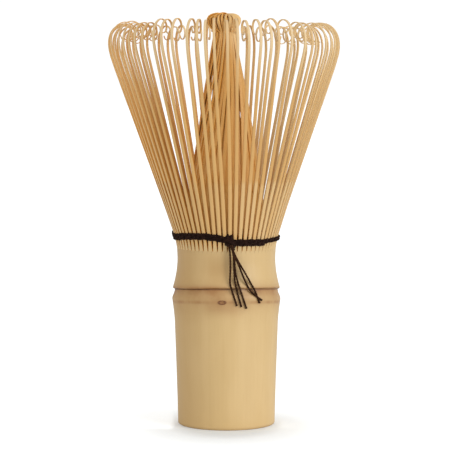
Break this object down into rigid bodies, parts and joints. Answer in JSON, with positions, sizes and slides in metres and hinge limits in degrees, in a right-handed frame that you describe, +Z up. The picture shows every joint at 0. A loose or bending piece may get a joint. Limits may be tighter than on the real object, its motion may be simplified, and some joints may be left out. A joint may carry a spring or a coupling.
{
  "type": "matcha whisk",
  "caption": "Bamboo tea whisk: hollow culm handle, a flared ring of curled outer tines round a gathered inner bundle, laced with dark thread.",
  "frame": {"origin": "middle of the base that the whisk stands on", "axes": "+Z up along the culm to the tines, front with the thread's knot towards -Y"},
  "size_m": [0.062, 0.062, 0.1103],
  "materials": {
    "bamboo_culm": "smooth dry bamboo, fine upright fibres",
    "bamboo_skin": "split and scraped bamboo, pale satin",
    "bamboo_pith": "split and scraped bamboo, warmer and matt",
    "thread": "dark twisted cotton"
  },
  "bodies": {
    "root": {"handle": "bamboo_culm", "outer_splint_01": "bamboo_skin", "outer_splint_02": "bamboo_skin", "outer_splint_03": "bamboo_skin", "outer_splint_04": "bamboo_skin", "outer_splint_05": "bamboo_skin", "outer_splint_06": "bamboo_skin", "outer_splint_07": "bamboo_skin", "outer_splint_08": "bamboo_skin", "outer_splint_09": "bamboo_skin", "outer_splint_10": "bamboo_skin", "outer_splint_11": "bamboo_skin", "outer_splint_12": "bamboo_skin", "outer_splint_13": "bamboo_skin", "outer_splint_14": "bamboo_skin", "outer_splint_15": "bamboo_skin", "outer_splint_16": "bamboo_skin", "inner_splint_01": "bamboo_pith", "inner_splint_02": "bamboo_pith", "inner_splint_03": "bamboo_pith", "inner_splint_04": "bamboo_pith", "inner_splint_05": "bamboo_pith", "inner_splint_06": "bamboo_pith", "inner_splint_07": "bamboo_pith", "inner_splint_08": "bamboo_pith", "inner_splint_09": "bamboo_pith", "inner_splint_10": "bamboo_pith", "inner_splint_11": "bamboo_pith", "inner_splint_12": "bamboo_pith", "inner_splint_13": "bamboo_pith", "inner_splint_14": "bamboo_pith", "inner_splint_15": "bamboo_pith", "inner_splint_16": "bamboo_pith", "thread_winding": "thread", "thread_knot": "thread", "thread_tail_1": "thread", "thread_tail_2": "thread", "thread_tail_3": "thread", "thread_tail_4": "thread", "thread_tail_5": "thread"}
  },
  "joints": []
}
